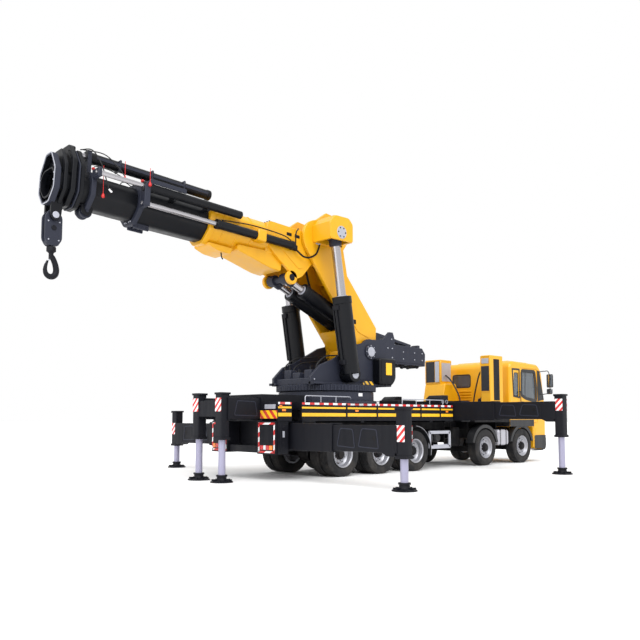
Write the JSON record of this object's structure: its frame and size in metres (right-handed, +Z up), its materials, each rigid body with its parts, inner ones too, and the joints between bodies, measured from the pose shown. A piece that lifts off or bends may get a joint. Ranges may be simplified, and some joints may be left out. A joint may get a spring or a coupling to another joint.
{
  "type": "truck-mounted knuckle boom crane",
  "caption": "Road truck carrying a slewing knuckle-boom crane with telescoping outer boom, folding outriggers on all sides and a swivelling hook block.",
  "frame": {"origin": "middle of the base of the whole crane's box, on the ground, outriggers run out", "axes": "+X towards the truck's front, +Y to its left, +Z up"},
  "size_m": [16.4192, 9.34, 6.7884],
  "materials": {
    "tyre_rubber": "matt",
    "crane_yellow": "gloss",
    "cab_yellow": "gloss",
    "leg_steel": "satin",
    "rod_chrome": "polished",
    "cab_trim": "matt",
    "boom_black": "semi-gloss",
    "frame_black": "satin",
    "tank_grey": "satin",
    "deck_dark": "semi-gloss"
  },
  "bodies": {
    "truck": {"cab_interior": "cab_trim", "cab_shell": "cab_yellow", "chassis_frame": "frame_black", "cooling_units": "cab_yellow", "deck": "deck_dark", "engine_block": "frame_black", "front_axle_1": "frame_black", "front_axle_2": "frame_black", "fuel_tank": "tank_grey", "outrigger_housing_front": "deck_dark", "outrigger_housing_rear": "deck_dark", "rear_bogie": "frame_black", "rear_bumper": "deck_dark", "slewing_base": "deck_dark"},
    "steering_knuckle_1_left": {"steering_knuckle_1_left": "frame_black"},
    "front_wheel_1_left": {"front_wheel_1_left": "tyre_rubber"},
    "steering_knuckle_2_left": {"steering_knuckle_2_left": "frame_black"},
    "front_wheel_2_left": {"front_wheel_2_left": "tyre_rubber"},
    "rear_wheels_1_left": {"rear_wheels_1_left": "tyre_rubber"},
    "rear_wheels_2_left": {"rear_wheels_2_left": "tyre_rubber"},
    "rear_wheels_3_left": {"rear_wheels_3_left": "tyre_rubber"},
    "cab_door_left": {"cab_door_left": "cab_yellow"},
    "outrigger_rear_left_stage_1": {"outrigger_rear_left_stage_1": "deck_dark"},
    "outrigger_rear_left_stage_2": {"outrigger_rear_left_stage_2": "deck_dark"},
    "outrigger_rear_left_leg": {"outrigger_rear_left_leg": "leg_steel"},
    "outrigger_front_left_stage_1": {"outrigger_front_left_stage_1": "deck_dark"},
    "outrigger_front_left_stage_2": {"outrigger_front_left_stage_2": "deck_dark"},
    "outrigger_front_left_leg": {"outrigger_front_left_leg": "leg_steel"},
    "steering_knuckle_1_right": {"steering_knuckle_1_right": "frame_black"},
    "front_wheel_1_right": {"front_wheel_1_right": "tyre_rubber"},
    "steering_knuckle_2_right": {"steering_knuckle_2_right": "frame_black"},
    "front_wheel_2_right": {"front_wheel_2_right": "tyre_rubber"},
    "rear_wheels_1_right": {"rear_wheels_1_right": "tyre_rubber"},
    "rear_wheels_2_right": {"rear_wheels_2_right": "tyre_rubber"},
    "rear_wheels_3_right": {"rear_wheels_3_right": "tyre_rubber"},
    "cab_door_right": {"cab_door_right": "cab_yellow"},
    "outrigger_rear_right_stage_1": {"outrigger_rear_right_stage_1": "deck_dark"},
    "outrigger_rear_right_stage_2": {"outrigger_rear_right_stage_2": "deck_dark"},
    "outrigger_rear_right_leg": {"outrigger_rear_right_leg": "leg_steel"},
    "outrigger_front_right_stage_1": {"outrigger_front_right_stage_1": "deck_dark"},
    "outrigger_front_right_stage_2": {"outrigger_front_right_stage_2": "deck_dark"},
    "outrigger_front_right_leg": {"outrigger_front_right_leg": "leg_steel"},
    "rear_stabiliser_frame": {"rear_stabiliser_frame": "deck_dark"},
    "rear_stabiliser_left_leg": {"rear_stabiliser_left_leg": "leg_steel"},
    "rear_stabiliser_right_leg": {"rear_stabiliser_right_leg": "leg_steel"},
    "crane_base": {"turntable": "deck_dark", "stowed_jib": "deck_dark"},
    "inner_boom": {"inner_boom": "crane_yellow"},
    "luffing_barrels": {"luffing_barrels": "boom_black"},
    "luffing_rods": {"luffing_rod_left": "rod_chrome", "luffing_rod_right": "rod_chrome"},
    "outer_boom": {"outer_boom": "crane_yellow"},
    "articulation_barrels": {"articulation_barrels": "boom_black"},
    "articulation_rods": {"articulation_rods": "rod_chrome"},
    "boom_section_1": {"boom_section_1": "boom_black"},
    "boom_section_2": {"boom_section_2": "boom_black"},
    "boom_section_3": {"boom_section_3": "boom_black"},
    "hook_block": {"hook_block": "deck_dark"},
    "hook": {"hook": "deck_dark"}
  },
  "joints": [
    {"name": "steer_1_left", "type": "hinge", "parent": "truck", "child": "steering_knuckle_1_left", "pos_m": [6.75965, 0.8, 0.538], "axis": [0, 0, 1], "range_deg": [-30, 30]},
    {"name": "spin_front_wheel_1_left", "type": "hinge", "parent": "steering_knuckle_1_left", "child": "front_wheel_1_left", "pos_m": [6.75965, 1.095, 0.538], "axis": [0, 1, 0], "continuous": true},
    {"name": "steer_2_left", "type": "hinge", "parent": "truck", "child": "steering_knuckle_2_left", "pos_m": [4.72965, 0.8, 0.538], "axis": [0, 0, 1], "range_deg": [-22, 22]},
    {"name": "spin_front_wheel_2_left", "type": "hinge", "parent": "steering_knuckle_2_left", "child": "front_wheel_2_left", "pos_m": [4.72965, 1.095, 0.538], "axis": [0, 1, 0], "continuous": true},
    {"name": "spin_rear_wheels_1_left", "type": "hinge", "parent": "truck", "child": "rear_wheels_1_left", "pos_m": [-1.29035, 0.925, 0.538], "axis": [0, 1, 0], "continuous": true},
    {"name": "spin_rear_wheels_2_left", "type": "hinge", "parent": "truck", "child": "rear_wheels_2_left", "pos_m": [0.07965, 0.925, 0.538], "axis": [0, 1, 0], "continuous": true},
    {"name": "spin_rear_wheels_3_left", "type": "hinge", "parent": "truck", "child": "rear_wheels_3_left", "pos_m": [1.44965, 0.925, 0.538], "axis": [0, 1, 0], "continuous": true},
    {"name": "door_left", "type": "hinge", "parent": "truck", "child": "cab_door_left", "pos_m": [7.70965, 1.25, 2.1], "axis": [0, 0, -1], "range_deg": [0, 65]},
    {"name": "extend_rear_left_1", "type": "slide", "parent": "truck", "child": "outrigger_rear_left_stage_1", "axis": [0, 1, 0], "range_m": [-1.62, 0]},
    {"name": "extend_rear_left_2", "type": "slide", "parent": "outrigger_rear_left_stage_1", "child": "outrigger_rear_left_stage_2", "axis": [0, 1, 0], "range_m": [-1.7, 0]},
    {"name": "lower_rear_left", "type": "slide", "parent": "outrigger_rear_left_stage_2", "child": "outrigger_rear_left_leg", "axis": [0, 0, -1], "range_m": [-0.45, 0.2]},
    {"name": "extend_front_left_1", "type": "slide", "parent": "truck", "child": "outrigger_front_left_stage_1", "axis": [0, 1, 0], "range_m": [-1.62, 0]},
    {"name": "extend_front_left_2", "type": "slide", "parent": "outrigger_front_left_stage_1", "child": "outrigger_front_left_stage_2", "axis": [0, 1, 0], "range_m": [-1.7, 0]},
    {"name": "lower_front_left", "type": "slide", "parent": "outrigger_front_left_stage_2", "child": "outrigger_front_left_leg", "axis": [0, 0, -1], "range_m": [-0.5, 0.2]},
    {"name": "steer_1_right", "type": "hinge", "parent": "truck", "child": "steering_knuckle_1_right", "pos_m": [6.75965, -0.8, 0.538], "axis": [0, 0, 1], "range_deg": [-30, 30]},
    {"name": "spin_front_wheel_1_right", "type": "hinge", "parent": "steering_knuckle_1_right", "child": "front_wheel_1_right", "pos_m": [6.75965, -1.095, 0.538], "axis": [0, 1, 0], "continuous": true},
    {"name": "steer_2_right", "type": "hinge", "parent": "truck", "child": "steering_knuckle_2_right", "pos_m": [4.72965, -0.8, 0.538], "axis": [0, 0, 1], "range_deg": [-22, 22]},
    {"name": "spin_front_wheel_2_right", "type": "hinge", "parent": "steering_knuckle_2_right", "child": "front_wheel_2_right", "pos_m": [4.72965, -1.095, 0.538], "axis": [0, 1, 0], "continuous": true},
    {"name": "spin_rear_wheels_1_right", "type": "hinge", "parent": "truck", "child": "rear_wheels_1_right", "pos_m": [-1.29035, -0.925, 0.538], "axis": [0, 1, 0], "continuous": true},
    {"name": "spin_rear_wheels_2_right", "type": "hinge", "parent": "truck", "child": "rear_wheels_2_right", "pos_m": [0.07965, -0.925, 0.538], "axis": [0, 1, 0], "continuous": true},
    {"name": "spin_rear_wheels_3_right", "type": "hinge", "parent": "truck", "child": "rear_wheels_3_right", "pos_m": [1.44965, -0.925, 0.538], "axis": [0, 1, 0], "continuous": true},
    {"name": "door_right", "type": "hinge", "parent": "truck", "child": "cab_door_right", "pos_m": [7.70965, -1.25, 2.1], "axis": [0, 0, 1], "range_deg": [0, 65]},
    {"name": "extend_rear_right_1", "type": "slide", "parent": "truck", "child": "outrigger_rear_right_stage_1", "axis": [0, -1, 0], "range_m": [-1.62, 0]},
    {"name": "extend_rear_right_2", "type": "slide", "parent": "outrigger_rear_right_stage_1", "child": "outrigger_rear_right_stage_2", "axis": [0, -1, 0], "range_m": [-1.7, 0]},
    {"name": "lower_rear_right", "type": "slide", "parent": "outrigger_rear_right_stage_2", "child": "outrigger_rear_right_leg", "axis": [0, 0, -1], "range_m": [-0.45, 0.2]},
    {"name": "extend_front_right_1", "type": "slide", "parent": "truck", "child": "outrigger_front_right_stage_1", "axis": [0, -1, 0], "range_m": [-1.62, 0]},
    {"name": "extend_front_right_2", "type": "slide", "parent": "outrigger_front_right_stage_1", "child": "outrigger_front_right_stage_2", "axis": [0, -1, 0], "range_m": [-1.7, 0]},
    {"name": "lower_front_right", "type": "slide", "parent": "outrigger_front_right_stage_2", "child": "outrigger_front_right_leg", "axis": [0, 0, -1], "range_m": [-0.5, 0.2]},
    {"name": "extend_rear_stabiliser", "type": "slide", "parent": "truck", "child": "rear_stabiliser_frame", "axis": [-1, 0, 0], "range_m": [-0.6, 0]},
    {"name": "lower_rear_stabiliser_left", "type": "slide", "parent": "rear_stabiliser_frame", "child": "rear_stabiliser_left_leg", "axis": [0, 0, -1], "range_m": [-0.5, 0.2]},
    {"name": "lower_rear_stabiliser_right", "type": "slide", "parent": "rear_stabiliser_frame", "child": "rear_stabiliser_right_leg", "axis": [0, 0, -1], "range_m": [-0.5, 0.2]},
    {"name": "slew", "type": "hinge", "parent": "truck", "child": "crane_base", "pos_m": [-0.69035, 0, 2.08], "axis": [0, 0, 1], "continuous": true},
    {"name": "luff", "type": "hinge", "parent": "crane_base", "child": "inner_boom", "pos_m": [0.20965, 0, 3.15], "axis": [0, 1, 0], "range_deg": [-30, 20]},
    {"name": "luffing_cylinder_tilt", "type": "hinge", "parent": "crane_base", "child": "luffing_barrels", "pos_m": [-0.76035, 0, 2.5], "axis": [0, 1, 0], "range_deg": [-26.71, 17.81]},
    {"name": "luffing_cylinder_stroke", "type": "slide", "parent": "luffing_barrels", "child": "luffing_rods", "axis": [-0.1644, 0, 0.9864], "range_m": [-0.5613, 0.3745]},
    {"name": "knuckle", "type": "hinge", "parent": "inner_boom", "child": "outer_boom", "pos_m": [-1.54035, 0, 5.9], "axis": [0, 1, 0], "range_deg": [-8, 55]},
    {"name": "articulation_cylinder_tilt", "type": "hinge", "parent": "inner_boom", "child": "articulation_barrels", "pos_m": [-0.19035, 0, 3.95], "axis": [0, 1, 0], "range_deg": [-1.85, 12.66]},
    {"name": "articulation_cylinder_stroke", "type": "slide", "parent": "articulation_barrels", "child": "articulation_rods", "axis": [-0.9207, 0, 0.3902], "range_m": [-0.1546, 1.0569]},
    {"name": "telescope_1", "type": "slide", "parent": "outer_boom", "child": "boom_section_1", "axis": [-0.9986, 0, 0.0523], "range_m": [-1.45, 0.55]},
    {"name": "telescope_2", "type": "slide", "parent": "boom_section_1", "child": "boom_section_2", "axis": [-0.9986, 0, 0.0523], "range_m": [-0.8, 1.2]},
    {"name": "telescope_3", "type": "slide", "parent": "boom_section_2", "child": "boom_section_3", "axis": [-0.9986, 0, 0.0523], "range_m": [0, 2]},
    {"name": "hook_block_swing", "type": "hinge", "parent": "boom_section_3", "child": "hook_block", "pos_m": [-8.03965, 0, 5.31935], "axis": [0, 1, 0], "range_deg": [-60, 60]},
    {"name": "hook_swivel", "type": "hinge", "parent": "hook_block", "child": "hook", "pos_m": [-8.03965, 0, 4.71935], "axis": [0, 0, 1], "continuous": true}
  ],
  "couplings": [
    {"joint": "steer_2_left", "follows": "steer_1_left", "ratio": 0.73333},
    {"joint": "extend_rear_left_2", "follows": "extend_rear_left_1", "ratio": 1.0494},
    {"joint": "extend_front_left_2", "follows": "extend_front_left_1", "ratio": 1.0494},
    {"joint": "steer_1_right", "follows": "steer_1_left", "ratio": 1},
    {"joint": "steer_2_right", "follows": "steer_1_left", "ratio": 0.73333},
    {"joint": "extend_rear_right_2", "follows": "extend_rear_right_1", "ratio": 1.0494},
    {"joint": "extend_front_right_2", "follows": "extend_front_right_1", "ratio": 1.0494},
    {"joint": "luffing_cylinder_tilt", "follows": "luff", "ratio": 0.89},
    {"joint": "luffing_cylinder_stroke", "follows": "luff", "m_per_rad": 1.07},
    {"joint": "articulation_cylinder_tilt", "follows": "knuckle", "ratio": 0.23},
    {"joint": "articulation_cylinder_stroke", "follows": "knuckle", "m_per_rad": 1.1}
  ]
}
